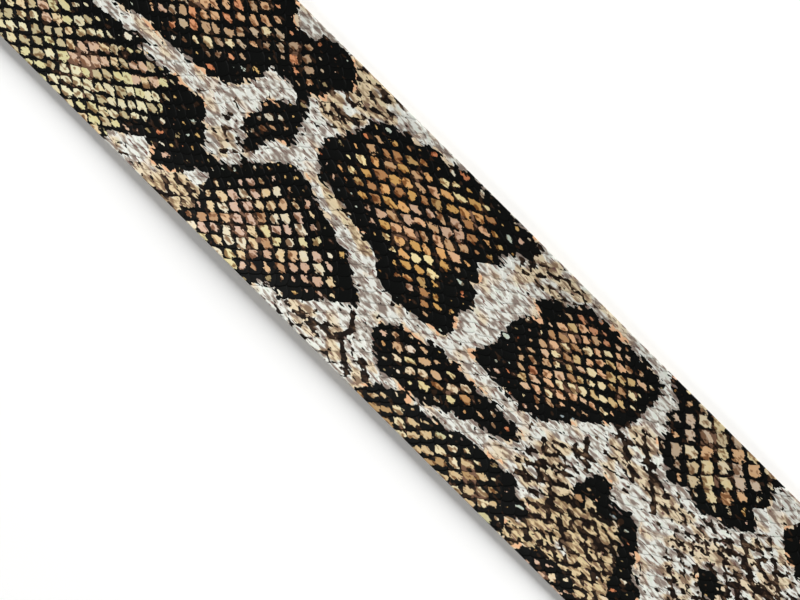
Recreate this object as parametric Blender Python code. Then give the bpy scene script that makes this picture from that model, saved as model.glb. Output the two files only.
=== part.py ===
"""A strip of snake skin, cut straight on all four sides and lying scale side up.

The skin is one thin sheet. Its middle lies flat, and drying has curled its long edges
and its two ends a little way up off the surface. +X runs along the snake towards the
tail, +Y across the back and +Z out of the scales. The origin is on the resting plane,
under the middle of the strip.

Run with: blender --background --python part.py
"""

import math

import bmesh
import bpy

# Driving dimensions, in metres.
LENGTH = 0.520
WIDTH = 0.110
THICKNESS = 0.0010

# The flat middle that the strip rests on.
REST_LENGTH = 0.430
REST_WIDTH = 0.044

# How far the underside curls up at the long edges and at the ends.
EDGE_LIFT = 0.0052
EDGE_LIFT_SWING = 0.22
END_LIFT = 0.0016

# The curl rises and falls along each edge as two slow waves.
LONG_WAVE = 0.370
SHORT_WAVE = 0.163
SHORT_WAVE_SHARE = 0.45
LEFT_EDGE_PHASE = 0.6
RIGHT_EDGE_PHASE = 2.3

# How many strips the sheet is divided into.
REST_COLUMNS = 26
END_COLUMNS = 4
REST_ROWS = 2
CURL_ROWS = 7

SKIN_COLOUR = (0.19, 0.14, 0.10, 1.0)
SKIN_ROUGHNESS = 0.55


def clear_scene():
    """Remove whatever the file holds, so that only the skin is left."""
    for obj in list(bpy.data.objects):
        bpy.data.objects.remove(obj)


def curl(distance, flat, edge):
    """0 on the flat middle, growing with the square of the distance to 1 at the edge."""
    return max(0.0, (abs(distance) - flat) / (edge - flat)) ** 2


def edge_wave(x, phase):
    """A slow swing from -1 to 1 along an edge."""
    long_swing = math.sin(2 * math.pi * x / LONG_WAVE + phase)
    short_swing = math.sin(2 * math.pi * x / SHORT_WAVE + 2 * phase)
    return (long_swing + SHORT_WAVE_SHARE * short_swing) / (1 + SHORT_WAVE_SHARE)


def underside_height(x, y):
    """Height of the flesh side over the resting plane."""
    phase = LEFT_EDGE_PHASE if y > 0 else RIGHT_EDGE_PHASE
    lift = EDGE_LIFT * (1 + EDGE_LIFT_SWING * edge_wave(x, phase))
    sideways = lift * curl(y, REST_WIDTH / 2, WIDTH / 2)
    endways = END_LIFT * curl(x, REST_LENGTH / 2, LENGTH / 2)
    return sideways + endways


def stations(flat, whole, flat_steps, curl_steps):
    """Places along one axis: even steps over the flat middle, then over each curl."""
    middle = [flat * (i / flat_steps - 0.5) for i in range(flat_steps + 1)]
    rise = (whole - flat) / 2 / curl_steps
    beyond = [flat / 2 + rise * (i + 1) for i in range(curl_steps)]
    return [-place for place in reversed(beyond)] + middle + beyond


def skin_sheet():
    """The underside of the skin as a grid of quads, with its corners at their heights."""
    xs = stations(REST_LENGTH, LENGTH, REST_COLUMNS, END_COLUMNS)
    ys = stations(REST_WIDTH, WIDTH, REST_ROWS, CURL_ROWS)
    sheet = bmesh.new()
    grid = [[sheet.verts.new((x, y, underside_height(x, y))) for y in ys] for x in xs]
    for this, following in zip(grid, grid[1:]):
        for i in range(len(ys) - 1):
            sheet.faces.new((this[i], following[i], following[i + 1], this[i + 1]))
    mesh = bpy.data.meshes.new("skin")
    sheet.to_mesh(mesh)
    sheet.free()
    return mesh


def skin_material():
    """Dry snake skin: dark brown and tan taken together, with a satin face."""
    material = bpy.data.materials.new("dry snake skin")
    material.use_nodes = True
    shader = material.node_tree.nodes["Principled BSDF"]
    shader.inputs["Base Color"].default_value = SKIN_COLOUR
    shader.inputs["Roughness"].default_value = SKIN_ROUGHNESS
    shader.inputs["Metallic"].default_value = 0.0
    return material


def build_skin():
    """The one piece: the sheet, given its thickness on the scale side."""
    mesh = skin_sheet()
    mesh.shade_smooth()
    skin = bpy.data.objects.new("skin", mesh)
    bpy.context.scene.collection.objects.link(skin)
    skin.data.materials.append(skin_material())
    wall = skin.modifiers.new("thickness", "SOLIDIFY")
    wall.thickness = THICKNESS
    wall.offset = 1.0
    return skin


def main():
    clear_scene()
    build_skin()


main()
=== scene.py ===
"""A strip of snake skin: its hide, and the overlapping scales on it, on a pale studio floor.

The hide follows the frame's solid. The scales stand in a lattice whose rows run along the
snake, and each scale takes its colours from the blotches and bands that it grew in.
"""

import math
from types import SimpleNamespace

import bmesh
import bpy
import numpy as np
from bpy.props import FloatProperty, FloatVectorProperty, IntProperty, PointerProperty
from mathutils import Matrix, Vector
from mathutils.bvhtree import BVHTree


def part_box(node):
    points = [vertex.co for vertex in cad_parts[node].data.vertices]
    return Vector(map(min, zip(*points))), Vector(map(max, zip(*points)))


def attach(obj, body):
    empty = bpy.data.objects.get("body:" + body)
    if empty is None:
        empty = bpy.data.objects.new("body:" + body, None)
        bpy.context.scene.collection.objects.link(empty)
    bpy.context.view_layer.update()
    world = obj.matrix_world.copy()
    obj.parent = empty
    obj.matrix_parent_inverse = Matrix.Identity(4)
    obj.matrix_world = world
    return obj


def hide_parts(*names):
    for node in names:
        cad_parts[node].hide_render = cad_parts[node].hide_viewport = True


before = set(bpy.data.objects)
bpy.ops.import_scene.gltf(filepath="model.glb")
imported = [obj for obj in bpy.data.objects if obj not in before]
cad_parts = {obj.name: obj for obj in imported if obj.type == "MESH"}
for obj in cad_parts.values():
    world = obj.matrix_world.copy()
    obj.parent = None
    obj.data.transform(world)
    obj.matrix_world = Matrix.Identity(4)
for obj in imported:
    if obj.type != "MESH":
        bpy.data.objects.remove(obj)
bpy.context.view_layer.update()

bl_info = {
    "name": "Snake skin strip",
    "version": (1, 0, 0),
    "blender": (4, 5, 0),
    "location": "3D Viewport > Sidebar > Snake skin",
    "description": "Builds a strip of patterned snake skin, scale by scale",
    "category": "Mesh",
}

MM = 0.001
NODE = "skin"
SKIN_LOW, SKIN_HIGH = (Vector(corner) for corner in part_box(NODE))
LENGTH = SKIN_HIGH.x - SKIN_LOW.x
WIDTH = SKIN_HIGH.y - SKIN_LOW.y

# ---------------------------------------------------------------------------
# The rows of scales. Lengths are in millimetres: x runs along the snake towards the
# tail, y across it. Row 0 is cut by the strip's left edge, the last row by its right.
# ---------------------------------------------------------------------------

ROW_COUNT = 32
# How far across the strip four of the rows lie, at stations along it. Rows are closest
# over the big blotches, and wider apart where the skin was stretched.
ROW_STATIONS = (-285, -205, -140, -40, 25, 85, 150, 200, 285)
ROW_LINES = {
    0: (55, 55, 55, 55, 55, 55, 55, 55, 55),
    7: (31, 31, 25.5, 34, 34, 35, 22, 26, 31),
    19: (-10, -10, -18, -3, -3, 0, -15, -13, -10),
    ROW_COUNT: (-55, -55, -55, -55, -55, -55, -55, -55, -55),
}
# The neighbouring rows whose lines are averaged, so that the spacing changes smoothly.
ROW_BLEND = (-2, -1, 0, 1, 2)
# The length of skin that one scale takes up along its row, in the upper rows and in the
# lower ones, and the rows over which one passes into the other.
PITCH_STATIONS = (-285, -100, -70, 15, 45, 115, 135, 185, 215, 285)
UPPER_PITCH = (9.0, 9.0, 11.6, 11.6, 8.4, 8.4, 10.8, 10.8, 9.4, 9.4)
LOWER_PITCH = (9.0, 9.0, 8.6, 8.6, 9.0, 9.4, 9.8, 9.8, 9.4, 9.4)
PITCH_ROWS = (9, 28)
# The place where the rows stand squarely side by side.
SQUARE_STATION = -25
# How far the rows waver, over what length, and how much faster they do so the other way.
WAVER = 0.55
WAVER_LENGTH = 31
WAVER_SKEW = 1.37

# ---------------------------------------------------------------------------
# The markings. Each blotch has an outer edge, where the black border ends, and a core of
# tan scales inside it. Points run round each outline and are joined by a smooth curve.
# "patch" is the tan patch on a scale: its length, its width and its tilt in degrees.
# ---------------------------------------------------------------------------

BLOTCHES = {
    "head_upper": {
        "edge": [
            (-134, 54), (-127, 46), (-115, 48), (-112, 53), (-94, 53), (-86, 43), (-94, 36),
            (-92, 31), (-98, 29.5), (-95, 23), (-91, 17), (-90, 11), (-87, 5), (-93, 3),
            (-98, -2), (-98, -9), (-102, -13), (-107, -6), (-113, -1), (-110, 5), (-112, 10),
            (-109, 14), (-100, 20), (-104, 24), (-121, 24), (-120, 18), (-125, 9),
            (-131, 4), (-142, 1), (-155, -1), (-167, -2), (-182, -2), (-194, -6), (-212, -1),
            (-230, 12), (-234, 30), (-222, 46), (-200, 54), (-165, 58),
        ],
        "core": [
            (-137, 46), (-126, 42), (-113, 46), (-106, 42), (-99, 35), (-103, 29), (-117, 31),
            (-130, 27), (-131, 18), (-138, 11), (-150, 7), (-163, 4), (-180, 3), (-200, 10),
            (-216, 22), (-214, 38), (-195, 48), (-160, 52),
        ],
        "tones": ("#c0a28c", "#b09272", "#cba37c", "#cc8f68", "#b5a288", "#d6c8a2", "#a98f74"),
        "patch": (6.0, 3.3, -6),
    },
    "head_small": {
        "edge": [(-110, 12), (-98, 12), (-97, -3), (-105, -5)],
        "core": [(-110, 12), (-98, 12), (-97, -3), (-105, -5)],
        "tones": ("#8a6a4c", "#b08a66", "#c2b9a4", "#7c5a40"),
        "patch": (5.0, 2.8, 0),
    },
    "long_lower": {
        "edge": [
            (-79, -1), (-69, -1.5), (-54, -7), (-41, -11), (-33, -12.5), (-25, -17),
            (-12, -26), (-23, -33), (-33, -42), (-40, -49), (-50, -49), (-55, -53),
            (-60, -60), (-99, -60), (-101, -45), (-105, -33), (-110, -34), (-114, -38),
            (-120, -43), (-126, -46.5), (-130, -44), (-135, -41), (-140, -41),
            (-146, -46), (-154, -52), (-160, -60), (-235, -60), (-246, -45), (-243, -28),
            (-225, -17), (-205, -14), (-183, -11), (-173, -8), (-168, -9), (-171, -12),
            (-162, -12.5), (-143, -10), (-132, -9.5), (-127, -13), (-121, -19),
            (-115, -25.5), (-109, -23.5), (-104, -24), (-99, -20), (-100, -16),
            (-95, -13), (-89, -9), (-84, -3),
        ],
        "core": [
            (-90, -16), (-78, -11.5), (-66, -12), (-55, -13), (-45, -17), (-33, -21),
            (-24, -26), (-25, -30), (-33, -36), (-45, -42), (-57, -47), (-70, -60),
            (-97, -60), (-99, -45), (-102, -35), (-94, -27), (-92, -20),
        ],
        "tones": ("#bf9f88", "#caa884", "#b08a68", "#d2bc96", "#d6ccb2", "#c9ac98", "#d2c698", "#dcd2ba"),
        "patch": (6.5, 3.7, -12),
    },
    "head_lower": {
        "edge": [(-191, -18), (-147, -17), (-142, -28), (-152, -50), (-156, -60), (-236, -60),
                 (-240, -40), (-225, -24)],
        "core": [
            (-191, -18), (-176, -18), (-166, -14), (-153, -13), (-147, -17), (-142, -24),
            (-142, -29), (-145, -36), (-148, -43), (-152, -50), (-156, -60), (-236, -60),
            (-240, -40), (-225, -24), (-205, -18),
        ],
        "tones": ("#c8ab92", "#d4bf98", "#b9ab88", "#c9c294", "#d6d0ae", "#d0c59e", "#b0a480", "#cfc8a8"),
        "patch": (6.6, 3.6, 4),
    },
    "great": {
        "edge": [
            (-78, 17), (-75, 25), (-70, 33), (-68, 41), (-60, 45), (-45, 48), (-41, 51),
            (-27, 51), (-22, 54.5), (22, 54.5), (31, 48), (21, 41), (20, 37), (23, 35),
            (13, 28.5), (20, 23), (18, 20), (26, 13), (24, 3), (28, -4), (24, -8),
            (8, -11), (-7, -12.5), (-19, -7.5), (-24, -3.5), (-45, 0.5), (-62, 3),
            (-70, 5), (-76, 11),
        ],
        "core": [
            (-65, 25), (-58, 40), (-45, 44), (-30, 46), (-14, 49), (3, 49), (11, 43),
            (8, 33), (9, 21), (6, 12), (9, 4), (16, 0), (12, -6), (0, -6), (-10, -1),
            (-26, 4.5), (-45, 10), (-62, 15),
        ],
        "tones": ("#bd9d84", "#b9956f", "#cda37e", "#a5784f", "#cf9f68", "#bf9558", "#ae8d5c", "#e0cf9c"),
        "patch": (7.4, 3.3, -3),
    },
    "tail_upper": {
        "edge": [
            (45, 35), (52, 41), (60, 45), (67, 50), (109, 50), (117, 44.5), (118, 26),
            (109, 17), (88, -2), (82, -5.5), (65, -6), (43, -5), (40, -3), (45, 6),
            (45, 24), (55, 30),
        ],
        "core": [
            (58, 35), (61, 43), (68, 47), (107, 46), (112, 42), (112, 31), (106, 20),
            (93, 12), (81, 1), (70, -1), (62, 4), (58, 11), (58, 27),
        ],
        "tones": ("#b98462", "#b89672", "#c9a98a", "#d3a983", "#d8c8a0", "#c2a878", "#a9845f"),
        "patch": (6.2, 2.7, -3),
    },
    "tail_small": {
        "edge": [
            (2, -24), (7, -19), (22, -16.5), (25, -13.5), (61, -14), (79, -13.5),
            (87, -17), (76, -25), (64, -27), (49, -33.5), (40, -38), (25, -38.5),
            (15, -41.5), (5, -34), (0, -30),
        ],
        "core": [
            (10, -21), (20, -18.5), (44, -16.5), (74, -16.5), (70, -21.5), (60, -24.5),
            (47, -31), (36, -34.5), (12, -33), (8, -28),
        ],
        "tones": ("#b58a5c", "#c2a07c", "#d5c3a3", "#cfc08f", "#d9cbb8"),
        "patch": (6.6, 3.2, 7),
    },
    "tail_edge": {
        "edge": [
            (20, -60), (19, -47), (27, -42), (40, -41), (52, -38.5), (65, -35),
            (77, -33), (90, -31.5), (98, -32), (105, -36), (114, -38), (114, -42),
            (107, -49), (106, -60),
        ],
        "core": [
            (22, -60), (22, -48), (31, -44), (50, -41.5), (70, -38), (84, -38),
            (95, -40), (101, -45), (104, -60),
        ],
        "tones": ("#a5875f", "#c0a983", "#d2c4a0", "#d9cdae", "#b9b38c"),
        "patch": (7.6, 3.2, 20),
    },
    "tail_corner": {
        "edge": [
            (115, 60), (119, 51), (128, 46), (125, 42), (129, 37), (134, 34), (130, 29),
            (140, 25), (149, 18.5), (156, 22), (167, 19.5), (184, 23.5), (194, 32),
            (186, 36), (190, 41.5), (189, 48), (185, 51), (185, 60),
        ],
        "core": [
            (125, 60), (133, 50), (131, 43), (137, 36), (136, 30), (145, 27), (154, 23),
            (170, 24), (178, 26), (177, 31), (182, 38), (181, 60),
        ],
        "tones": ("#ae9a82", "#bdac8b", "#cfbf96", "#cca67e", "#d2c4a4", "#c2ae98"),
        "patch": (8.6, 4.8, -22),
    },
    "spot": {
        "edge": [
            (123, -2), (128, -1), (133, -2.5), (136, -7), (141, -7.5), (146, -4.5),
            (152, -5), (157, -9), (162, -15), (167, -23), (176, -27), (177, -33),
            (168, -42), (161, -33), (157, -24), (151, -16), (145, -13), (136, -15),
            (131, -12), (128, -15), (129, -19), (121, -17), (119, -13), (121, -8),
        ],
        "core": [(120, -15), (128, -12), (128, -19), (121, -19)],
        "tones": ("#a9845f", "#b79a74"),
        "patch": (5.0, 2.6, 0),
    },
    "tail_end_upper": {
        "edge": [(207, 46), (204, 39.5), (212, 34), (222, 30), (236, 27), (252, 32), (266, 45),
                 (266, 60), (214, 60)],
        "core": [(216, 50), (214, 42), (224, 36), (238, 33), (252, 38), (266, 50), (266, 60),
                 (218, 60)],
        "tones": ("#c7936f", "#b4a383", "#c9a98a"),
        "patch": (7.2, 4.0, -15),
    },
    "fleck": {
        "edge": [(189, 1), (196, 3), (203, 0), (204, -5), (199, -9), (191, -5)],
        "core": [(192, 0), (196, 0), (196, -4), (192, -4)],
        "tones": ("#3a3026", "#4b392a"),
        "patch": (4.0, 2.4, 0),
    },
    "tail_lower": {
        "edge": [(120, -60), (124, -50), (133, -47), (144, -46), (151, -47.5), (158, -54),
                 (162, -60)],
        "core": [(128, -60), (130, -51), (145, -49), (154, -54), (156, -60)],
        "tones": ("#cfd0b8", "#d5c3a3", "#c7a890"),
        "patch": (7.0, 3.6, 20),
    },
    "tail_end_lower": {
        "edge": [(213, -20), (228, -12), (250, -15), (266, -25), (266, -54), (240, -50),
                 (222, -38)],
        "core": [(219, -21), (230, -17), (250, -20), (262, -28), (262, -48), (240, -45),
                 (226, -34)],
        "tones": ("#b4a383", "#c9a177", "#d2c4a0"),
        "patch": (7.2, 4.0, -10),
    },
}

# Where the bands are freckled: an outline, how much of it is brown, how much of that is
# round dots, and how far the ground turns from white to tan.
FRECKLES = [
    ([(-94, 56), (-62, 56), (-60, 46), (-68, 40), (-76, 24), (-92, 26)], 0.55, 0.0, 0.6),
    ([(24, 56), (68, 56), (64, 48), (50, 38), (30, 38), (22, 42)], 0.45, 0.0, 0.4),
    ([(-120, -2), (-106, -2), (-97, -10), (-99, -23), (-112, -24), (-120, -14)], 0.5, 0.1, 0.3),
    ([(-38, -58), (-38, -46), (-24, -40), (-6, -38), (6, -40), (14, -42), (22, -46),
      (22, -58)], 0.38, 0.0, 0.3),
    ([(95, -6), (110, 2), (122, 0), (118, -14), (122, -20), (118, -36), (104, -33),
      (92, -28), (90, -14)], 0.62, 0.1, 0.5),
    ([(112, 26), (132, 26), (148, 17), (160, 20), (170, 14), (165, 4), (150, 1),
      (136, 3), (112, 8)], 0.45, 0.1, 0.35),
    ([(165, 18), (190, 22), (200, 12), (210, 2), (205, -15), (190, -24), (178, -14),
      (168, 0)], 0.55, 0.9, 0.3),
    ([(196, 33), (210, 33), (232, 26), (262, 22), (262, -10), (215, -10), (205, 0),
      (192, 14)], 0.6, 0.3, 0.3),
    ([(106, -36), (117, -20), (127, -12), (140, -12), (152, -15), (162, -26), (172, -42),
      (178, -58), (106, -58)], 0.72, 0.0, 1.0),
    ([(-158, -58), (-140, -47), (-126, -49), (-118, -44), (-116, -58)], 0.4, 0.0, 0.2),
    ([(-124, -58), (-118, -44), (-106, -36), (-98, -34), (-94, -44), (-94, -58)], 0.6, 0.0, 0.8),
    ([(-64, 4), (-45, 2), (-24, -3), (-21, -8), (-40, -4), (-64, -1)], 0.0, 0.0, 0.8),
]
FRECKLE_FADE = 3.0

# Dark folds between scales: the points that a fold runs through, and its width. A fold
# fades out at the reach, which is a share of its width.
FOLD_DARKNESS = 2.0
FOLD_REACH = 0.8
FOLDS = [
    ([(112, 21), (120, 17.5), (131, 12), (137, 7)], 3.0),
    ([(124, 27), (131, 22), (140, 16), (149, 9), (155, 3)], 2.2),
    ([(140, 16), (150, 15), (160, 11)], 1.8),
    ([(106, 0), (112, -4), (118, -2)], 2.6),
    ([(108, 6), (112, 1), (116, 0)], 2.0),
    ([(100, -14), (106, -20), (112, -22)], 2.6),
    ([(196, 24), (203, 16), (212, 12), (222, 14)], 2.4),
    ([(203, 16), (206, 8), (212, 2)], 2.4),
    ([(-11.5, -30), (-6, -36), (-8.5, -42), (-17, -45.5), (-29, -48)], 3.0),
    ([(-8, -42), (-1, -47), (6, -51.5)], 3.6),
    ([(6, -43), (12, -47), (19, -50)], 3.0),
]

BAND_PATCH = (7.4, 3.8, 0)

# Single scales in the black borders have a small patch of one of these: the grey and pale ones are painted
# glints off the black keratin, the tan and orange ones small flecks of pigment.
GLINT_AND_FLECK_TONES = ("#8e9a9c", "#b4beb0", "#c9a892", "#c2a066", "#c07a54", "#8f7f5c", "#d9d2bc")

# Steps between two points of an outline, and how far the fields run past the strip.
OUTLINE_STEPS = 5
FIELD_MARGIN = 6
RANDOM_SEED = 46


def linear(colour):
    """An sRGB hex colour as the three linear numbers that a shader works in."""
    parts = [int(colour[i : i + 2], 16) / 255 for i in (1, 3, 5)]
    return [p / 12.92 if p <= 0.04045 else ((p + 0.055) / 1.055) ** 2.4 for p in parts]


# ---------------------------------------------------------------------------
# Settings
# ---------------------------------------------------------------------------


class SkinSizes(bpy.types.PropertyGroup):
    """Sizes of the hide and of the scales on it."""

    hide: FloatProperty(
        name="Hide thickness",
        description="Thickness of the hide between the scales",
        default=0.45 * MM,
        unit="LENGTH",
        precision=5,
    )
    lift: FloatProperty(
        name="Scale lift",
        description="How far the free end of a scale stands over its rooted end",
        default=0.35 * MM,
        unit="LENGTH",
        precision=5,
    )
    dome: FloatProperty(
        name="Scale dome",
        description="How far the middle of a scale bulges over its rim",
        default=0.12 * MM,
        unit="LENGTH",
        precision=5,
    )
    overlap: FloatProperty(
        name="Scale overlap",
        description="Size of a scale over the size of its cell in the lattice",
        default=1.08,
        min=0.8,
        max=1.4,
    )
    swing: FloatProperty(
        name="Size swing",
        description="How much the scales differ from each other in size",
        default=0.05,
        subtype="FACTOR",
    )
    turn: FloatProperty(
        name="Turn",
        description="How far a scale may be turned in its place",
        default=math.radians(3),
        subtype="ANGLE",
    )
    seed: IntProperty(
        name="Seed",
        description="Start of the random sizes and turns of the scales",
        default=7,
    )


class SkinColours(bpy.types.PropertyGroup):
    """Colours of the hide, of the bands and of the borders round the patches."""

    black: FloatVectorProperty(
        name="Border",
        description="Pigment of the borders, and round the patches on most scales",
        subtype="COLOR",
        default=linear("#060706"),
    )
    brown: FloatVectorProperty(
        name="Brown",
        description="Pigment round the patches where some have grown into each other",
        subtype="COLOR",
        default=linear("#2a1c12"),
    )
    fawn: FloatVectorProperty(
        name="Fawn",
        description="Pigment round the patches where most have grown into each other",
        subtype="COLOR",
        default=linear("#6d5140"),
    )
    band: FloatVectorProperty(
        name="Band",
        description="Colour of the pale bands",
        subtype="COLOR",
        default=linear("#d7d8d0"),
    )
    flesh: FloatVectorProperty(
        name="Flesh side",
        description="Colour of the underside of the hide",
        subtype="COLOR",
        default=linear("#b9a98c"),
    )


# ---------------------------------------------------------------------------
# The lattice of scales
# ---------------------------------------------------------------------------


def eased(x, stations, values):
    """Values between the stations, passing from one to the next with no corner."""
    index = np.clip(np.searchsorted(stations, x) - 1, 0, len(stations) - 2)
    stations, values = np.array(stations, float), np.array(values, float)
    share = np.clip((x - stations[index]) / (stations[index + 1] - stations[index]), 0, 1)
    share = share * share * (3 - 2 * share)
    return values[index] + share * (values[index + 1] - values[index])


def row_height(x, row):
    """How far across the strip a row lies at x, in millimetres."""
    guides = sorted(ROW_LINES)
    lines = np.array([eased(x, ROW_STATIONS, ROW_LINES[guide]) for guide in guides])
    total = np.zeros(len(x))
    for shift in ROW_BLEND:
        at = row + shift
        index = np.clip(np.searchsorted(guides, at) - 1, 0, len(guides) - 2)
        low, high = np.array(guides)[index], np.array(guides)[index + 1]
        start, end = lines[index, np.arange(len(x))], lines[index + 1, np.arange(len(x))]
        total += start + (at - low) / (high - low) * (end - start)
    return total / len(ROW_BLEND)


def row_count_along(x, pitches):
    """How many scales lie between the square station and each x."""
    fine = np.arange(PITCH_STATIONS[0], PITCH_STATIONS[-1] + 1.0)
    counts = np.concatenate([[0], np.cumsum(1 / eased(fine[1:] - 0.5, PITCH_STATIONS, pitches))])
    counts -= np.interp(SQUARE_STATION, fine, counts)
    return np.interp(x, fine, counts)


class Lattice:
    """Places on the skin for any row and any count of scales along the row."""

    def __init__(self):
        x = np.arange(PITCH_STATIONS[0], PITCH_STATIONS[-1] + 1.0)
        upper, lower = row_count_along(x, UPPER_PITCH), row_count_along(x, LOWER_PITCH)
        self.rows = np.arange(-2, ROW_COUNT + 3)
        self.first = math.floor(max(upper[0], lower[0]))
        self.last = math.ceil(min(upper[-1], lower[-1]))
        self.step = 0.5
        self.counts = np.arange(self.first, self.last + self.step, self.step)
        table = []
        for row in self.rows:
            share = eased(np.array([float(row)]), PITCH_ROWS, (0, 1))[0]
            table.append(np.interp(self.counts, upper + share * (lower - upper), x))
        self.table = np.array(table)

    def place(self, count, row):
        """The x and y, in millimetres, of places given by count along and row."""
        down = np.clip(row - self.rows[0], 0, len(self.rows) - 1.001)
        along = np.clip((count - self.first) / self.step, 0, len(self.counts) - 1.001)
        i, j = down.astype(int), along.astype(int)
        a, b = down - i, along - j
        near = self.table[i, j] * (1 - b) + self.table[i, j + 1] * b
        far = self.table[i + 1, j] * (1 - b) + self.table[i + 1, j + 1] * b
        x = near * (1 - a) + far * a
        y = row_height(x, row)
        pace = 2 * np.pi / WAVER_LENGTH
        along = WAVER * np.sin(pace * (x * WAVER_SKEW + y)) * np.cos(pace * y * WAVER_SKEW)
        aside = WAVER * np.sin(pace * (x - y * WAVER_SKEW)) * np.cos(pace * x * WAVER_SKEW)
        return x + along, y + aside

    def cell(self, x, y):
        """The count along and the row, with their fractions, of places in millimetres."""
        heights = np.array([row_height(x, np.full(len(x), float(row))) for row in self.rows])
        row = np.array([np.interp(-b, -line, self.rows) for b, line in zip(y, heights.T)])
        down = (row - self.rows[0]).astype(int)
        count = np.array([np.interp(a, self.table[i], self.counts) for a, i in zip(x, down)])
        return count, row


# ---------------------------------------------------------------------------
# The markings as fields over the strip
# ---------------------------------------------------------------------------


def smooth_outline(points):
    """A smooth closed curve through the points of an outline."""
    start = np.array(points, float)
    before, end, after = np.roll(start, 1, 0), np.roll(start, -1, 0), np.roll(start, -2, 0)
    parts = []
    for share in np.arange(OUTLINE_STEPS) / OUTLINE_STEPS:
        bend = (2 * before - 5 * start + 4 * end - after) * share**2
        twist = (3 * start - before - 3 * end + after) * share**3
        parts.append(start + 0.5 * ((end - before) * share + bend + twist))
    return np.stack(parts, 1).reshape(-1, 2)


def depth_inside(places, outline):
    """How far each place lies inside an outline, in millimetres; negative outside."""
    nearest = np.full(len(places), np.inf)
    inside = np.zeros(len(places), bool)
    for start, end in zip(outline, np.roll(outline, -1, 0)):
        along = end - start
        share = np.clip((places - start) @ along / max(along @ along, 1e-9), 0, 1)
        gap = places - start - share[:, None] * along
        nearest = np.minimum(nearest, (gap**2).sum(1))
        spans = (start[1] > places[:, 1]) != (end[1] > places[:, 1])
        rise = along[1] if along[1] else 1e-9
        crossing = start[0] + along[0] * (places[:, 1] - start[1]) / rise
        inside ^= spans & (places[:, 0] < crossing)
    return np.where(inside, 1, -1) * np.sqrt(nearest)


class Markings:
    """Blotches, cores and freckles, worked out once on a grid of 1 mm."""

    def __init__(self):
        half_length, half_width = LENGTH / 2 / MM, WIDTH / 2 / MM
        self.x = np.arange(-half_length - FIELD_MARGIN, half_length + FIELD_MARGIN + 1)
        self.y = np.arange(-half_width - FIELD_MARGIN, half_width + FIELD_MARGIN + 1)
        grid = np.stack(np.meshgrid(self.x, self.y), -1).reshape(-1, 2)
        edges = [depth_inside(grid, smooth_outline(b["edge"])) for b in BLOTCHES.values()]
        cores = [depth_inside(grid, smooth_outline(b["core"])) for b in BLOTCHES.values()]
        brown, dots, tan = np.zeros((3, len(grid)))
        for outline, strength, dotted, tanned in FRECKLES:
            depth = depth_inside(grid, smooth_outline(outline))
            share = np.clip(0.5 + depth / (2 * FRECKLE_FADE), 0, 1)
            brown = np.maximum(brown, strength * share)
            dots = np.maximum(dots, dotted * share)
            tan = np.maximum(tan, tanned * share)
        for line, width in FOLDS:
            # A line drawn there and back again encloses nothing, so its depth is a distance.
            distance = -depth_inside(grid, np.array(line + line[-2:0:-1], float))
            share = np.clip(FOLD_REACH - distance / width, 0, FOLD_REACH)
            brown = np.maximum(brown, FOLD_DARKNESS * share)
        shape = (len(self.y), len(self.x))
        self.fields = {
            "edge": np.max(edges, 0).reshape(shape),
            "core": np.max(cores, 0).reshape(shape),
            "owner": np.argmax(cores, 0).reshape(shape),
            "brown": brown.reshape(shape),
            "dots": dots.reshape(shape),
            "tan": tan.reshape(shape),
        }

    def at(self, name, x, y):
        """A field's value at places given in millimetres."""
        field = self.fields[name]
        across = np.clip(x - self.x[0], 0, len(self.x) - 1.001)
        up = np.clip(y - self.y[0], 0, len(self.y) - 1.001)
        if name == "owner":
            return field[np.rint(up).astype(int), np.rint(across).astype(int)]
        i, j = up.astype(int), across.astype(int)
        a, b = up - i, across - j
        near = field[i, j] * (1 - b) + field[i, j + 1] * b
        far = field[i + 1, j] * (1 - b) + field[i + 1, j + 1] * b
        return near * (1 - a) + far * a


# ---------------------------------------------------------------------------
# The lie of the skin, read from the frame
# ---------------------------------------------------------------------------


class Lie:
    """Height of the underside of the skin, from the frame's solid, smoothed a little."""

    STEP = 2.0
    SMOOTHING = 5

    def __init__(self):
        solid = bmesh.new()
        solid.from_mesh(bpy.data.objects[NODE].data)
        tree = BVHTree.FromBMesh(solid)
        solid.free()
        half_length, half_width = LENGTH / 2 / MM, WIDTH / 2 / MM
        inset = 0.05
        self.x = np.linspace(-half_length, half_length, round(2 * half_length / self.STEP) + 1)
        self.y = np.linspace(-half_width, half_width, round(2 * half_width / self.STEP) + 1)
        heights = np.zeros((len(self.y), len(self.x)))
        below, up = SKIN_LOW.z - MM, Vector((0, 0, 1))
        for i, y in enumerate(self.y):
            for j, x in enumerate(self.x):
                start = (
                    np.clip(x, inset - half_length, half_length - inset) * MM,
                    np.clip(y, inset - half_width, half_width - inset) * MM,
                    below,
                )
                heights[i, j] = tree.ray_cast(start, up)[0].z
        for _ in range(self.SMOOTHING):
            for axis in (0, 1):
                heights = self.softened(heights, axis)
        self.heights = heights

    @staticmethod
    def softened(heights, axis):
        """Each height averaged with its two neighbours along an axis, rims left alone."""
        result = heights.copy()
        middle = [slice(None), slice(None)]
        middle[axis] = slice(1, -1)
        middle = tuple(middle)
        before, after = np.roll(heights, 1, axis), np.roll(heights, -1, axis)
        result[middle] = ((before + 2 * heights + after) / 4)[middle]
        return result

    def at(self, x, y):
        """Height of the underside, in metres, at places given in millimetres."""
        across = np.clip((x - self.x[0]) / self.STEP, 0, len(self.x) - 1.001)
        up = np.clip((y - self.y[0]) / self.STEP, 0, len(self.y) - 1.001)
        i, j = up.astype(int), across.astype(int)
        a, b = up - i, across - j
        near = self.heights[i, j] * (1 - b) + self.heights[i, j + 1] * b
        far = self.heights[i + 1, j] * (1 - b) + self.heights[i + 1, j + 1] * b
        return near * (1 - a) + far * a


LATTICE = Lattice()
MARKINGS = Markings()
LIE = Lie()


# ---------------------------------------------------------------------------
# Materials
# ---------------------------------------------------------------------------


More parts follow.
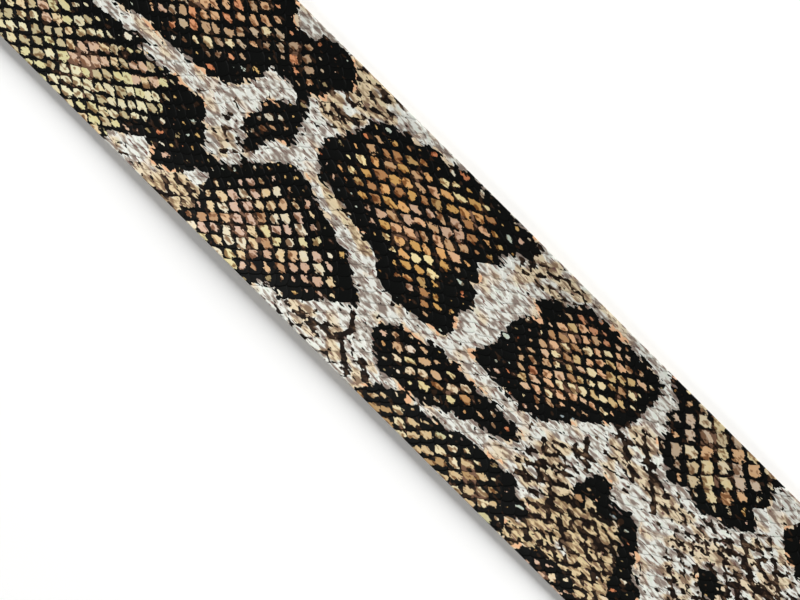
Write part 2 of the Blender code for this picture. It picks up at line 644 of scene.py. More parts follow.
# The settings that make a Mix node mix two colours, or multiply them.
MIXED = {"out": 2, "data_type": "RGBA"}
MULTIPLIED = {**MIXED, "blend_type": "MULTIPLY"}

# What each scale carries for its material, and the output that it is read from.
SCALE_MARKS = {
    "spot": "Vector", "tone": "Color", "patch": "Fac", "warm": "Fac", "edge": "Fac",
    "brown": "Fac", "dots": "Fac", "tan": "Fac",
}
# The patterns in the keratin: the size of each in millimetres, how much finer it runs along
# the snake, across it and through it, and how much detail it has.
BROADER = (0.6, 1.25, 1.0)
KERATIN_PATTERNS = {
    "ragged": (1.6, BROADER, 2.0),
    "cloud": (2.4, BROADER, 1.0),
    "blot": (2.6, BROADER, 1.5),
    "drift": (3.0, BROADER, 1.0),
    "broad": (9.0, BROADER, 1.0),
    "streak": (1.0, (0.19, 0.62, 1.0), 1.0),
    "dash": (1.0, (0.30, 1.6, 1.0), 0.0),
    "ridges": (1.0, (0.25, 3.5, 1.0), 2.0),
}
DOT_SPACING = 2.9 * MM
# How dark the blotches show through on the flesh side.
GHOST_SHADE = 0.42


def add(tree, kind, sockets=None, out=0, stops=None, **settings):
    """Add one node with its settings, links and colour stops, and hand back an output."""
    new = tree.nodes.new(kind)
    for name, value in settings.items():
        setattr(new, name, value)
    for key, value in (sockets or {}).items():
        socket = new.inputs[key]
        if isinstance(value, bpy.types.NodeSocket):
            tree.links.new(value, socket)
        else:
            socket.default_value = (*value, 1) if socket.type == "RGBA" else value
    if stops:
        elements = new.color_ramp.elements
        for place, colour in stops[1:-1]:
            elements.new(place).color = (*linear(colour), 1)
        for element, (place, colour) in ((elements[0], stops[0]), (elements[-1], stops[-1])):
            element.position = place
            element.color = (*linear(colour), 1)
        new.color_ramp.interpolation = "CONSTANT"
    return new.outputs[out]


def new_material(name):
    """An empty material with its shader."""
    material = bpy.data.materials.new(name)
    material.use_nodes = True
    return material, material.node_tree, material.node_tree.nodes["Principled BSDF"]


def keratin_fields(tree):
    """What the pigments of a scale are worked out from: its marks, and the patterns."""
    on = {
        name: add(tree, "ShaderNodeAttribute", attribute_name=name, out=output)
        for name, output in SCALE_MARKS.items()
    }
    on["place"] = add(tree, "ShaderNodeTexCoord", out="Object")
    on["away"] = add(tree, "ShaderNodeVectorMath", {0: on["spot"]}, out="Value", operation="LENGTH")
    for name, (size, finer, detail) in KERATIN_PATTERNS.items():
        drawn = add(tree, "ShaderNodeMapping", {0: on["place"], 3: finer})
        noise = {"Vector": drawn, "Scale": 1 / (size * MM), "Detail": detail}
        on[name] = add(tree, "ShaderNodeTexNoise", noise)
    return SimpleNamespace(**on)


def blotch_pigment(tree, on, colours):
    """A patch of the scale's own tone with a ragged border, and black or brown round it."""
    reach = add(tree, "ShaderNodeMath", {0: on.ragged, 1: 2.2, 2: on.away}, operation="MULTIPLY_ADD")
    spare = add(tree, "ShaderNodeMath", {0: on.patch, 1: reach}, operation="SUBTRACT")
    inside = add(tree, "ShaderNodeMapRange", {0: spare, 1: -1.12, 2: -1.08})
    # Lighter and darker fields within the patch, at random, and painted shade: each patch a little darker
    # towards its -Y side, away from the key light.
    aside = add(tree, "ShaderNodeSeparateXYZ", {0: on.spot}, out="Y")
    # Painted shade: spot Y tips the level up on the +Y side, towards the key light, and down on the -Y
    # side.
    cloud_and_shade_lean = add(tree, "ShaderNodeMath", {0: aside, 1: 0.08, 2: on.cloud}, operation="MULTIPLY_ADD")
    level = add(
        tree, "ShaderNodeValToRGB", {0: cloud_and_shade_lean},
        stops=[(0, "#9a8272"), (0.37, "#c8bab0"), (0.44, "#ffffff"), (0.61, "#fffaf0")],
    )
    patch = add(tree, "ShaderNodeMix", {0: 1.0, 6: on.tone, 7: level}, **MULTIPLIED)
    # Brown comes in where the patches have grown into each other.
    heat = add(tree, "ShaderNodeMath", {0: on.warm, 1: 0.34, 2: on.drift}, operation="MULTIPLY_ADD")
    some = add(tree, "ShaderNodeMapRange", {0: heat, 1: 0.66, 2: 0.68})
    most = add(tree, "ShaderNodeMapRange", {0: heat, 1: 0.78, 2: 0.80})
    dark = add(tree, "ShaderNodeMix", {0: some, 6: colours.black, 7: colours.brown}, **MIXED)
    dark = add(tree, "ShaderNodeMix", {0: most, 6: dark, 7: colours.fawn}, **MIXED)
    return add(tree, "ShaderNodeMix", {0: inside, 6: dark, 7: patch}, **MIXED)


def band_ground(tree, on, colours):
    """The pale ground of a band: white, cream or sand, streaked grey along the snake."""
    tint = add(
        tree, "ShaderNodeValToRGB", {0: on.streak},
        stops=[(0, "#9c8c86"), (0.39, "#bcb0aa"), (0.45, "#dcd7d2"), (0.51, "#ffffff"),
               (0.66, "#f6fbf6")],
    )
    creamy = add(tree, "ShaderNodeMapRange", {0: on.broad, 1: 0.54, 2: 0.56, 4: 0.8})
    ground = add(tree, "ShaderNodeMix", {0: creamy, 6: colours.band, 7: linear("#d6cbba")}, **MIXED)
    spread = add(tree, "ShaderNodeMath", {0: on.tan, 1: 0.35, 2: on.broad}, operation="MULTIPLY_ADD")
    sandy = add(tree, "ShaderNodeMapRange", {0: spread, 1: 0.60, 2: 0.66})
    sand = {0: on.tan, 6: linear("#d6c8ae"), 7: linear("#cdb890")}
    sand = add(tree, "ShaderNodeMix", sand, **MIXED)
    ground = add(tree, "ShaderNodeMix", {0: sandy, 6: ground, 7: sand}, **MIXED)
    ground = add(tree, "ShaderNodeMix", {0: 1.0, 6: ground, 7: tint}, **MULTIPLIED)
    # Here and there a thin reddish dash along the snake.
    dashed = add(tree, "ShaderNodeMapRange", {0: on.dash, 1: 0.69, 2: 0.71})
    return add(tree, "ShaderNodeMix", {0: dashed, 6: ground, 7: linear("#6f524b")}, **MIXED)


def band_pigment(tree, on, colours):
    """A band: its ground, brown freckles, round dots, and a cream or tan rim in places."""
    # The freckles keep off the middles of the scales.
    mark = add(tree, "ShaderNodeMath", {0: on.away, 1: 0.13, 2: on.blot}, operation="MULTIPLY_ADD")
    mark = add(tree, "ShaderNodeMath", {0: on.brown, 1: 0.38, 2: mark}, operation="MULTIPLY_ADD")
    freckled = add(tree, "ShaderNodeMapRange", {0: mark, 1: 0.88, 2: 0.89})
    freckle = add(
        tree, "ShaderNodeValToRGB", {0: on.drift},
        stops=[(0, "#17100c"), (0.53, "#2f2219"), (0.66, "#5b4736")],
    )
    band = band_ground(tree, on, colours)
    band = add(tree, "ShaderNodeMix", {0: freckled, 6: band, 7: freckle}, **MIXED)
    cells = {"Vector": on.place, "Scale": 1 / DOT_SPACING}
    cells = add(tree, "ShaderNodeTexVoronoi", cells, out="Distance")
    size = add(tree, "ShaderNodeMath", {0: on.dots, 1: 0.30}, operation="MULTIPLY")
    dotted = add(tree, "ShaderNodeMath", {0: size, 1: cells}, operation="GREATER_THAN")
    band = add(tree, "ShaderNodeMix", {0: dotted, 6: band, 7: linear("#2a2019")}, **MIXED)
    rim = add(tree, "ShaderNodeMath", {0: on.ragged, 1: 2.5, 2: on.edge}, operation="MULTIPLY_ADD")
    near = add(tree, "ShaderNodeMath", {0: rim, 1: 0.1}, operation="GREATER_THAN")
    some = add(tree, "ShaderNodeMath", {0: on.broad, 1: 0.56}, operation="GREATER_THAN")
    rimmed = add(tree, "ShaderNodeMath", {0: near, 1: some}, operation="MULTIPLY")
    warm = add(tree, "ShaderNodeMath", {0: on.broad, 1: 0.62}, operation="GREATER_THAN")
    rim = add(tree, "ShaderNodeMix", {0: warm, 6: linear("#d2bfa2"), 7: linear("#d8aa84")}, **MIXED)
    return add(tree, "ShaderNodeMix", {0: rimmed, 6: band, 7: rim}, **MIXED)


def scale_keratin(name, colours):
    """Keratin scale, grown and dried: satin, with sharp-edged patches of pigment.

    Dry keratin has a soft sheen and fine ridges along the snake. The pigment lies in
    patches with hard borders: tan in the middle of a scale, black or brown round it.
    """
    material, tree, shader = new_material(name)
    on = keratin_fields(tree)
    blotch, band = blotch_pigment(tree, on, colours), band_pigment(tree, on, colours)
    # The border between blotch and band is jagged along the snake.
    jag = add(tree, "ShaderNodeMath", {0: on.streak, 1: 7.5, 2: on.edge}, operation="MULTIPLY_ADD")
    pale = add(tree, "ShaderNodeMapRange", {0: jag, 1: 3.79, 2: 3.71})
    colour = add(tree, "ShaderNodeMix", {0: pale, 6: blotch, 7: band}, **MIXED)
    relief = {"Strength": 0.08, "Distance": 0.05 * MM, "Height": on.ridges}
    tree.links.new(colour, shader.inputs["Base Color"])
    tree.links.new(add(tree, "ShaderNodeBump", relief), shader.inputs["Normal"])
    shader.inputs["Roughness"].default_value = 0.55
    shader.inputs["IOR"].default_value = 1.54
    shader.inputs["Specular IOR Level"].default_value = 0.06
    return material


def hide_grain(name, colours):
    """Dried hide, grain side: the thin skin between the scales, dark and a little dull."""
    material, tree, shader = new_material(name)
    place = add(tree, "ShaderNodeTexCoord", out="Object")
    edge = add(tree, "ShaderNodeAttribute", attribute_name="edge", out="Fac")
    creases = {"Vector": place, "Scale": 1 / (0.8 * MM), "Detail": 3.0}
    creases = add(tree, "ShaderNodeTexNoise", creases)
    jag = add(tree, "ShaderNodeMath", {0: creases, 1: 2.4, 2: edge}, operation="MULTIPLY_ADD")
    pale = add(tree, "ShaderNodeMapRange", {0: jag, 1: 1.24, 2: 1.16})
    skin = add(
        tree, "ShaderNodeValToRGB", {0: creases},
        stops=[(0, "#9a8c7c"), (0.45, "#b9ab9a"), (0.55, "#cfc4b4")],
    )
    colour = add(tree, "ShaderNodeMix", {0: pale, 6: colours.black, 7: skin}, **MIXED)
    relief = {"Strength": 0.4, "Distance": 0.08 * MM, "Height": creases}
    tree.links.new(colour, shader.inputs["Base Color"])
    tree.links.new(add(tree, "ShaderNodeBump", relief), shader.inputs["Normal"])
    shader.inputs["Roughness"].default_value = 0.7
    shader.inputs["Specular IOR Level"].default_value = 0.2
    return material


def hide_flesh(name, colours):
    """Dried hide, flesh side: buff and matt, with the root of each scale showing through."""
    material, tree, shader = new_material(name)
    place = add(tree, "ShaderNodeTexCoord", out="Object")
    edge = add(tree, "ShaderNodeAttribute", attribute_name="edge", out="Fac")
    cells = add(tree, "ShaderNodeAttribute", attribute_name="cells", out="Vector")
    # The lines between the roots run where either cell number is whole.
    split = add(tree, "ShaderNodeSeparateXYZ", {0: cells}).node.outputs
    one, other = [
        add(tree, "ShaderNodeMath", {0: split[axis], 1: 0.5}, operation="PINGPONG")
        for axis in ("X", "Y")
    ]
    root = add(tree, "ShaderNodeMath", {0: one, 1: other}, operation="MINIMUM")
    pocket = add(tree, "ShaderNodeMapRange", {0: root, 1: 0.0, 2: 0.16})
    fibres = {"Vector": place, "Scale": 1 / (0.7 * MM), "Detail": 4.0}
    fibres = add(tree, "ShaderNodeTexNoise", fibres)
    patches = {"Vector": place, "Scale": 1 / (14 * MM), "Detail": 2.0}
    patches = add(tree, "ShaderNodeTexNoise", patches)
    # The blotches show through as darker ghosts.
    ghost = add(tree, "ShaderNodeMapRange", {0: edge, 1: -2.5, 2: 2.5, 4: 0.55})
    dim = [GHOST_SHADE * part for part in colours.flesh]
    colour = add(tree, "ShaderNodeMix", {0: ghost, 6: colours.flesh, 7: dim}, **MIXED)
    # Painted shade: the flesh side is darkened to 0.70 along the pockets between the roots.
    shadow = add(tree, "ShaderNodeMapRange", {0: pocket, 3: 0.70, 4: 1.0})
    mottle = add(tree, "ShaderNodeMapRange", {0: patches, 1: 0.3, 2: 0.7, 3: 0.86, 4: 1.1})
    nap = add(tree, "ShaderNodeMapRange", {0: fibres, 1: 0.3, 2: 0.7, 3: 0.9, 4: 1.08})
    shade = add(tree, "ShaderNodeMath", {0: shadow, 1: mottle}, operation="MULTIPLY")
    shade = add(tree, "ShaderNodeMath", {0: shade, 1: nap}, operation="MULTIPLY")
    colour = add(tree, "ShaderNodeMix", {0: 1.0, 6: colour, 7: shade}, **MULTIPLIED)
    relief = add(tree, "ShaderNodeMath", {0: fibres, 1: 0.35, 2: pocket}, operation="MULTIPLY_ADD")
    relief = {"Strength": 0.6, "Distance": 0.12 * MM, "Height": relief}
    tree.links.new(colour, shader.inputs["Base Color"])
    tree.links.new(add(tree, "ShaderNodeBump", relief), shader.inputs["Normal"])
    shader.inputs["Roughness"].default_value = 0.85
    shader.inputs["Specular IOR Level"].default_value = 0.2
    return material


# ---------------------------------------------------------------------------
# Shapes
# ---------------------------------------------------------------------------

RIM_POINTS = 14
RIM_POWER = 1.35
RING_REACHES = (1.0, 0.84, 0.5)
ROOT_REACH = 1.12
ROOT_DEPTH = 0.2 * MM
# A scale whose middle lies further past an end than this, in millimetres, is left out.
END_REACH = 4.4

# The slow swings over the skin: plane waves, with lengths in millimetres.
WAVE_COUNT = 7
WAVE_LENGTHS = (20, 45)
# Patches start this far outside a core and reach full size over the fade. Lengths are in
# millimetres, turns in degrees, and sizes are shares of the blotch's own patch.
PATCH_START = 2
PATCH_FADE = 6
LEAST_PATCH = 0.35
PATCH_SIZES = (0.72, 1.08)
PATCH_TURN = 24
PATCH_SHIFT = (0.9, 0.5)
# How readily patches grow into each other, how far inside the core they do so fully, and by
# how much they grow.
MERGE_RATE = 0.6
MERGE_DEPTH = 8
MERGE_GROWTH = 0.14
# The share of scales in the black that carry a small patch of a glint and fleck tone (a painted glint in
# the grey tones), how far inside, and its sizes.
GLINT_AND_FLECK_SHARE = 0.4
GLINT_AND_FLECK_DEPTH = 1.5
GLINT_AND_FLECK_SIZES = (0.3, 0.65)
# How far a scale's tone follows the slow swing, and how far chance.
TONE_SWING = 0.2
TONE_CHANCE = 0.55
# How far a scale keeps to the side of a border on which its own middle lies.
OWN_SIDE = 0.25
# How far a scale reaches from the middle of its square on the map, in squares.
MAP_FILL = 0.43


def link(name, mesh):
    """An object for a mesh, in the scene, at the origin."""
    piece = bpy.data.objects.new(name, mesh)
    bpy.context.scene.collection.objects.link(piece)
    return piece


def write_attribute(mesh, name, kind, values):
    """Give a mesh a named value on each of its points."""
    attribute = mesh.attributes.get(name) or mesh.attributes.new(name, kind, "POINT")
    key = {"FLOAT": "value", "INT": "value", "FLOAT_VECTOR": "vector", "FLOAT_COLOR": "color"}[kind]
    attribute.data.foreach_set(key, np.ascontiguousarray(values).ravel())


def read_attribute(mesh, name, key="value", width=1, kind=np.float32):
    """A named value of each point of a mesh, as an array."""
    values = np.zeros(len(mesh.vertices) * width, kind)
    mesh.attributes[name].data.foreach_get(key, values)
    return values.reshape(-1, width) if width > 1 else values


def scale_plate(sizes):
    """One scale, with its rooted end at -X and its free end at +X, in cell units."""
    angles = np.arange(RIM_POINTS) * 2 * np.pi / RIM_POINTS
    cosine, sine = np.cos(angles), np.sin(angles)
    u = np.sign(cosine) * np.abs(cosine) ** (2 / RIM_POWER)
    v = np.sign(sine) * np.abs(sine) ** (2 / RIM_POWER)
    points, local = [], []
    for reach in (ROOT_REACH, *RING_REACHES):
        for a, b in zip(u, v):
            top = sizes.lift * (0.5 + 0.5 * reach * a) + sizes.dome * (1 - reach**2)
            height = -ROOT_DEPTH if reach == ROOT_REACH else top
            drawn = 1.0 if reach == ROOT_REACH else reach
            points.append((drawn * a / 2, drawn * b, height))
            local.append((reach * a, reach * b, reach))
    points.append((0, 0, sizes.lift / 2 + sizes.dome))
    local.append((0, 0, 0))
    faces = [tuple(reversed(range(RIM_POINTS)))]
    for ring in range(len(RING_REACHES)):
        low, high = ring * RIM_POINTS, (ring + 1) * RIM_POINTS
        for i in range(RIM_POINTS):
            j = (i + 1) % RIM_POINTS
            faces.append((low + i, low + j, high + j, high + i))
    last = len(RING_REACHES) * RIM_POINTS
    for i in range(RIM_POINTS):
        faces.append((last + i, last + (i + 1) % RIM_POINTS, len(points) - 1))
    mesh = bpy.data.meshes.new("scale plate")
    mesh.from_pydata(points, [], faces)
    mesh.shade_smooth()
    write_attribute(mesh, "plate", "FLOAT_VECTOR", np.array(local, np.float32))
    return link("scale_plate", mesh)


def scale_tree():
    """Geometry Nodes that stand a plate on each point of the lattice."""
    tree = bpy.data.node_groups.new("Scales on their lattice", "GeometryNodeTree")
    sockets = {}
    for name, kind in (
        ("Lattice", "NodeSocketGeometry"), ("Plate", "NodeSocketObject"),
        ("Overlap", "NodeSocketFloat"), ("Size swing", "NodeSocketFloat"),
        ("Turn", "NodeSocketFloat"), ("Seed", "NodeSocketInt"),
        ("Material", "NodeSocketMaterial"),
    ):
        sockets[name] = tree.interface.new_socket(name, in_out="INPUT", socket_type=kind).identifier
    tree.interface.new_socket("Scales", in_out="OUTPUT", socket_type="NodeSocketGeometry")
    given = tree.nodes.new("NodeGroupInput").outputs
    least = add(tree, "ShaderNodeMath", {0: given["Overlap"], 1: given["Size swing"]}, operation="SUBTRACT")
    most = add(tree, "ShaderNodeMath", {0: given["Overlap"], 1: given["Size swing"]})
    size = add(tree, "FunctionNodeRandomValue", {2: least, 3: most, "Seed": given["Seed"]}, out=1)
    back = add(tree, "ShaderNodeMath", {0: given["Turn"], 1: -1.0}, operation="MULTIPLY")
    turn = add(tree, "FunctionNodeRandomValue", {2: back, 3: given["Turn"], "Seed": given["Seed"]}, out=1)
    turned = add(tree, "ShaderNodeCombineXYZ", {"Z": turn})
    plate = add(tree, "GeometryNodeObjectInfo", {"Object": given["Plate"]}, out="Geometry")
    stood = add(
        tree, "GeometryNodeInstanceOnPoints",
        {"Points": given["Lattice"], "Instance": plate, "Rotation": turned, "Scale": size},
    )
    real = add(tree, "GeometryNodeRealizeInstances", {0: stood})
    done = add(tree, "GeometryNodeSetMaterial", {0: real, "Material": given["Material"]})
    tree.links.new(done, tree.nodes.new("NodeGroupOutput").inputs[0])
    return tree, sockets


def slow_swing(x, y, draw):
    """A smooth random swing over the skin, mostly between -2 and 2, made of plane waves."""
    total = np.zeros(len(x))
    for _ in range(WAVE_COUNT):
        length = draw.uniform(*WAVE_LENGTHS)
        heading, phase = draw.uniform(0, 2 * np.pi, 2)
        along = x * np.cos(heading) + y * np.sin(heading)
        total += np.cos(2 * np.pi * along / length + phase)
    return total / math.sqrt(WAVE_COUNT / 2)


def lattice_points():
    """Every scale of the strip: its place in the lattice and what it grew as."""
    rows, counts = [], []
    for row in range(ROW_COUNT + 1):
        along = np.arange(LATTICE.first + 1, LATTICE.last - 1) + 0.5 * (row % 2)
        rows.append(np.full(len(along), float(row)))
        counts.append(along)
    row, count = np.concatenate(rows), np.concatenate(counts)
    x, y = LATTICE.place(count, row)
    near = np.abs(x) < LENGTH / 2 / MM + END_REACH
    row, count, x, y = row[near], count[near], x[near], y[near]
    draw = np.random.default_rng(RANDOM_SEED)
    edge, core = MARKINGS.at("edge", x, y), MARKINGS.at("core", x, y)
    blotches = list(BLOTCHES.values())
    owners = [blotches[i] for i in MARKINGS.at("owner", x, y)]
    chance = draw.random((len(row), 8))
    swing, drift = slow_swing(x, y, draw), slow_swing(x, y, draw)

    # Patches shrink towards the border. Where the swing is high, they grow into each other.
    merged = np.clip(MERGE_RATE * swing, 0, 1) * np.clip(core / MERGE_DEPTH, 0, 1)
    grown = np.clip((core + PATCH_START) / PATCH_FADE, LEAST_PATCH, 1)
    grown = grown * (0.9 + 0.2 * chance[:, 0]) + MERGE_GROWTH * merged
    # The black scales' small patches: painted glints in the grey and pale tones, pigment flecks in the tan
    # ones.
    glint_and_fleck = GLINT_AND_FLECK_SIZES[0] + (GLINT_AND_FLECK_SIZES[1] - GLINT_AND_FLECK_SIZES[0]) * chance[:, 2]
    glint_and_fleck = np.where((chance[:, 1] < GLINT_AND_FLECK_SHARE) & (edge > GLINT_AND_FLECK_DEPTH), glint_and_fleck, 0)
    patch = np.where(core > -PATCH_START, grown, glint_and_fleck)
    tone, ellipse = [], []
    for i, owner in enumerate(owners):
        tones = owner["tones"] if core[i] > -PATCH_START else GLINT_AND_FLECK_TONES
        pick = 0.5 + TONE_SWING * drift[i] + TONE_CHANCE * (chance[i, 3] - 0.5)
        pick = int(np.clip(pick, 0, 0.999) * len(tones))
        tone.append((*linear(tones[pick]), 1))
        ellipse.append(owner["patch"] if edge[i] > 0 else BAND_PATCH)
    ellipse = np.array(ellipse, float)
    ellipse[:, :2] *= PATCH_SIZES[0] + (PATCH_SIZES[1] - PATCH_SIZES[0]) * chance[:, 4:6]
    ellipse[:, 2] += PATCH_TURN * (chance[:, 6] - 0.5)
    shift = (draw.random((len(row), 2)) - 0.5) * PATCH_SHIFT
    return {
        "row": row, "count": count, "x": x, "y": y, "edge": edge, "patch": patch,
        "warm": merged, "tone": np.array(tone), "ellipse": ellipse, "shift": shift,
    }


def patch_places(x, y, points, chosen, which):
    """Each place as seen from the patch on its scale: 1 away is on the patch's border."""
    length, width, tilt = points["ellipse"][chosen][which].T
    tilt = np.radians(tilt)
    shift = points["shift"][chosen][which]
    across = x - points["x"][chosen][which] - shift[:, 0]
    up = y - points["y"][chosen][which] - shift[:, 1]
    along = (across * np.cos(tilt) + up * np.sin(tilt)) / (length / 2)
    aside = (up * np.cos(tilt) - across * np.sin(tilt)) / (width / 2)
    return np.stack([along, aside, np.zeros(len(x))], 1).astype(np.float32)


def trim_to_strip(mesh):
    """Cut the mesh straight at the four sides of the strip, and close what was cut."""
    shape = bmesh.new()
    shape.from_mesh(mesh)
    for axis, low, high in ((0, SKIN_LOW.x, SKIN_HIGH.x), (1, SKIN_LOW.y, SKIN_HIGH.y)):
        for side, sign in ((low, -1), (high, 1)):
            centre, normal = Vector((0, 0, 0)), Vector((0, 0, 0))
            centre[axis], normal[axis] = side, sign
            bmesh.ops.bisect_plane(
                shape, geom=shape.verts[:] + shape.edges[:] + shape.faces[:], dist=1e-7,
                plane_co=centre, plane_no=normal, clear_outer=True,
            )
            bmesh.ops.holes_fill(shape, edges=[e for e in shape.edges if e.is_boundary], sides=0)
    shape.to_mesh(mesh)
    shape.free()


def lay_scales(name, chosen, points, sizes, tree, sockets, plate, material):
    """Grow the chosen scales by Geometry Nodes, and lay them on the hide."""
    count, row = points["count"][chosen], points["row"][chosen]
    mesh = bpy.data.meshes.new(name)
    mesh.from_pydata(np.stack([count, -row, np.zeros(len(row))], 1).tolist(), [], [])
    write_attribute(mesh, "tone", "FLOAT_COLOR", points["tone"][chosen].astype(np.float32))
    for field in ("patch", "warm", "edge"):
        write_attribute(mesh, field, "FLOAT", points[field][chosen].astype(np.float32))
    write_attribute(mesh, "which", "INT", np.arange(len(row), dtype=np.int32))
    seedbed = link(name + "_lattice", mesh)
    modifier = seedbed.modifiers.new("scales", "NODES")
    modifier.node_group = tree
    for socket, value in (
        ("Plate", plate), ("Overlap", sizes.overlap), ("Size swing", sizes.swing),
        ("Turn", sizes.turn), ("Seed", sizes.seed), ("Material", material),
    ):
        modifier[sockets[socket]] = value
    graph = bpy.context.evaluated_depsgraph_get()
    grown = bpy.data.meshes.new_from_object(seedbed.evaluated_get(graph))
    seedbed.modifiers.remove(modifier)
    bpy.data.objects.remove(seedbed)

    places = np.zeros(len(grown.vertices) * 3, np.float32)
    grown.vertices.foreach_get("co", places)
    places = places.reshape(-1, 3).astype(float)
    x, y = LATTICE.place(places[:, 0], -places[:, 1])
    z = LIE.at(x, y) + sizes.hide + places[:, 2]
    grown.vertices.foreach_set("co", np.stack([x * MM, y * MM, z], 1).astype(np.float32).ravel())
    which = read_attribute(grown, "which", kind=np.int32)
    spot = patch_places(x, y, points, chosen, which)
    write_attribute(grown, "spot", "FLOAT_VECTOR", spot)
    own = read_attribute(grown, "edge")
    edge = OWN_SIDE * own + (1 - OWN_SIDE) * MARKINGS.at("edge", x, y)
    write_attribute(grown, "edge", "FLOAT", edge.astype(np.float32))
    for field in ("brown", "dots", "tan"):
        write_attribute(grown, field, "FLOAT", MARKINGS.at(field, x, y).astype(np.float32))
    trim_to_strip(grown)
    grown.update()
    lay_out_islands(grown, len(row))
    return link(name, grown)


def numbers_of(items, name, kind):
    """One number of each of a mesh's loops or faces, as an array."""
    values = np.zeros(len(items), kind)
    items.foreach_get(name, values)
    return values


def lay_out_islands(mesh, count):
    """A map of the scales for baking, each scale flat in a square of its own."""
    side = math.ceil(math.sqrt(count))
    which = read_attribute(mesh, "which", kind=np.int32)
    plate = read_attribute(mesh, "plate", "vector", 3)
    square = np.stack([which % side, which // side], 1) + 0.5
    flat = (square + MAP_FILL / ROOT_REACH * plate[:, :2]) / side
    corner = numbers_of(mesh.loops, "vertex_index", np.int32)
    spread, reach = flat[corner], plate[:, 2][corner]
    starts = numbers_of(mesh.polygons, "loop_start", np.int32)
    totals = numbers_of(mesh.polygons, "loop_total", np.int32)
    for start, end in zip(starts, starts + totals):
        # The foot of a scale is out of sight, so it takes no room on the map.
        if reach[start:end].min() > (1 + ROOT_REACH) / 2:
            spread[start:end] = spread[start]
    layer = mesh.uv_layers.new(name="OFBake")
    layer.data.foreach_set("uv", spread.astype(np.float32).ravel())


HIDE_STEP = 2.5
SHARP_EDGE = math.radians(60)


def hide_mesh(name, sizes):
    """The hide as a closed sheet: flesh side where the skin lies, grain side above it."""
    half_length, half_width = LENGTH / 2 / MM, WIDTH / 2 / MM
    xs = np.linspace(-half_length, half_length, round(2 * half_length / HIDE_STEP) + 1)
    ys = np.linspace(-half_width, half_width, round(2 * half_width / HIDE_STEP) + 1)
    grid = np.stack(np.meshgrid(xs, ys, indexing="ij"), -1).reshape(-1, 2)
    low = LIE.at(grid[:, 0], grid[:, 1])
    layers = [np.column_stack([grid * MM, low + rise]) for rise in (0, sizes.hide)]
    nx, ny, half = len(xs), len(ys), len(grid)
    index = np.arange(half).reshape(nx, ny)
    faces, sides = [], []
    for i in range(nx - 1):
        for j in range(ny - 1):
            a, b, c, d = index[i, j], index[i + 1, j], index[i + 1, j + 1], index[i, j + 1]
            faces += [(a, d, c, b), (a + half, b + half, c + half, d + half)]
            sides += [1, 0]
    rim = [*index[:, 0], *index[-1, 1:], *index[-2::-1, -1], *index[0, -2:0:-1]]
    for a, b in zip(rim, rim[1:] + rim[:1]):
        faces.append((a, b, b + half, a + half))
        sides.append(0)
    mesh = bpy.data.meshes.new(name)
    mesh.from_pydata(np.concatenate(layers).tolist(), [], [tuple(map(int, f)) for f in faces])
    mesh.polygons.foreach_set("material_index", sides)
    mesh.shade_smooth()
    mesh.set_sharp_from_angle(angle=SHARP_EDGE)
    x, y = np.tile(grid[:, 0], 2), np.tile(grid[:, 1], 2)
    write_attribute(mesh, "edge", "FLOAT", MARKINGS.at("edge", x, y).astype(np.float32))
    count, row = LATTICE.cell(x, y)
    cells = np.stack([count + row / 2, count - row / 2, np.zeros(len(x))], 1)
    write_attribute(mesh, "cells", "FLOAT_VECTOR", cells.astype(np.float32))
    return mesh


# ---------------------------------------------------------------------------
# Operators
# ---------------------------------------------------------------------------


def finish_piece(piece):
    """Hang a piece of the skin on the root body."""
    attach(piece, "root")


class SKIN_OT_scales(bpy.types.Operator):
    """Grow the scales over the hide and lay them on it."""

    bl_idname = "snakeskin.scales"
    bl_label = "Scales"

    def execute(self, context):
        sizes, colours = context.scene.skin_sizes, context.scene.skin_colours
        tree, sockets = scale_tree()
        plate = scale_plate(sizes)
        material = scale_keratin("Dry scale keratin, grown and dried", colours)
        points = lattice_points()
        for name, chosen in (
            ("blotch_scales", points["edge"] > 0), ("band_scales", points["edge"] <= 0),
        ):
            piece = lay_scales(name, chosen, points, sizes, tree, sockets, plate, material)
            finish_piece(piece)
        bpy.data.objects.remove(plate)
        return {"FINISHED"}


class SKIN_OT_hide(bpy.types.Operator):
    """Lay the hide, the one sheet that carries all the scales."""

    bl_idname = "snakeskin.hide"
    bl_label = "Hide"

    def execute(self, context):
        sizes, colours = context.scene.skin_sizes, context.scene.skin_colours
        mesh = hide_mesh("hide", sizes)
        mesh.materials.append(hide_grain("Dried hide, grain side", colours))
        mesh.materials.append(hide_flesh("Dried hide, flesh side", colours))
        hide = link("hide", mesh)
        finish_piece(hide)
        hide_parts(NODE)
        return {"FINISHED"}


FLOOR_SIZE = 4.0
CAMERA_LENS = 115
CAMERA_HEIGHT = 1.201
CAMERA_AIM = (0.0, -0.01034)
CAMERA_TURN = math.radians(45)


def soft_light(name, place, size, power):
    """A square area light at a place, facing the middle of the strip."""
    data = bpy.data.lights.new(name, "AREA")
    data.size = size
    data.energy = power
    light = link(name, data)
    light.location = place
    light.rotation_euler = Vector(place).to_track_quat("Z", "Y").to_euler()


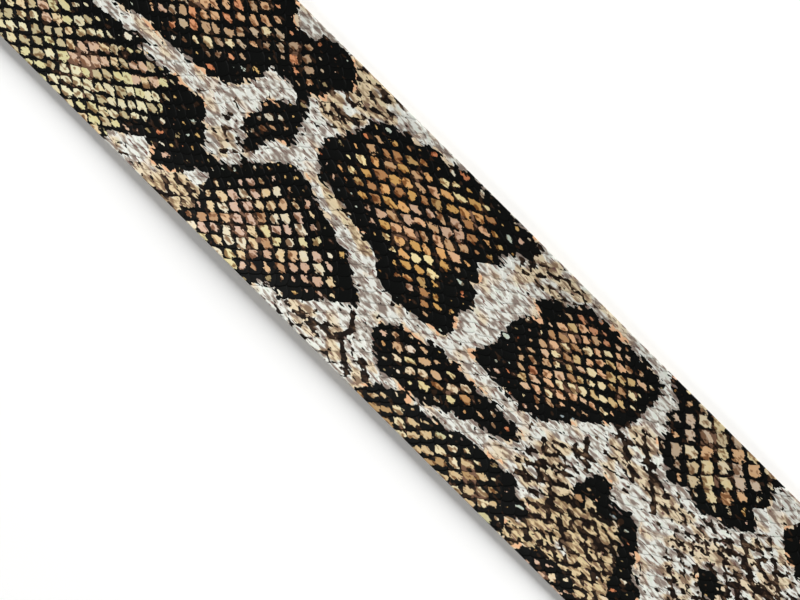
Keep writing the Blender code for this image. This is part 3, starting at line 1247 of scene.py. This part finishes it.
class SKIN_OT_stage(bpy.types.Operator):
    """A white floor, soft light from the snake's left side, and a camera looking down."""

    bl_idname = "snakeskin.stage"
    bl_label = "Stage"

    def execute(self, context):
        half = FLOOR_SIZE / 2
        corners = [(-half, -half, 0), (half, -half, 0), (half, half, 0), (-half, half, 0)]
        mesh = bpy.data.meshes.new("floor")
        mesh.from_pydata(corners, [], [(0, 1, 2, 3)])
        material, _, shader = new_material("White paper, matt")
        shader.inputs["Base Color"].default_value = (*linear("#fbfbfa"), 1)
        shader.inputs["Roughness"].default_value = 0.95
        shader.inputs["Specular IOR Level"].default_value = 0.1
        mesh.materials.append(material)
        link("floor", mesh)

        soft_light("key", (0.0, 1.9, 1.35), 2.2, 95)
        soft_light("fill", (0.0, -1.9, 1.35), 2.2, 26)
        world = bpy.data.worlds.new("studio")
        world.use_nodes = True
        world.node_tree.nodes["Background"].inputs["Color"].default_value = (1, 1, 1, 1)
        world.node_tree.nodes["Background"].inputs["Strength"].default_value = 0.12
        context.scene.world = world

        data = bpy.data.cameras.new("camera")
        data.lens = CAMERA_LENS
        camera = link("camera", data)
        camera.location = (*CAMERA_AIM, CAMERA_HEIGHT)
        camera.rotation_euler = (0, 0, CAMERA_TURN)
        context.scene.camera = camera
        context.scene.view_settings.view_transform = "Standard"
        return {"FINISHED"}


class SKIN_PT_panel(bpy.types.Panel):
    """The settings and the steps, in the order they are run."""

    bl_label = "Snake skin"
    bl_idname = "SKIN_PT_panel"
    bl_space_type = "VIEW_3D"
    bl_region_type = "UI"
    bl_category = "Snake skin"

    def draw(self, context):
        for group in (context.scene.skin_sizes, context.scene.skin_colours):
            for name in group.__annotations__:
                self.layout.prop(group, name)
        for step in (SKIN_OT_scales, SKIN_OT_hide, SKIN_OT_stage):
            self.layout.operator(step.bl_idname)


CLASSES = (SkinSizes, SkinColours, SKIN_OT_scales, SKIN_OT_hide, SKIN_OT_stage, SKIN_PT_panel)


def register():
    """Add the settings, the operators and the panel."""
    for each in CLASSES:
        bpy.utils.register_class(each)
    bpy.types.Scene.skin_sizes = PointerProperty(type=SkinSizes)
    bpy.types.Scene.skin_colours = PointerProperty(type=SkinColours)


def unregister():
    """Take them out again."""
    del bpy.types.Scene.skin_colours
    del bpy.types.Scene.skin_sizes
    for each in reversed(CLASSES):
        bpy.utils.unregister_class(each)


def main():
    """Build the skin and its stage."""
    register()
    bpy.ops.snakeskin.scales()
    bpy.ops.snakeskin.hide()
    bpy.ops.snakeskin.stage()


if __name__ == "__main__":
    main()
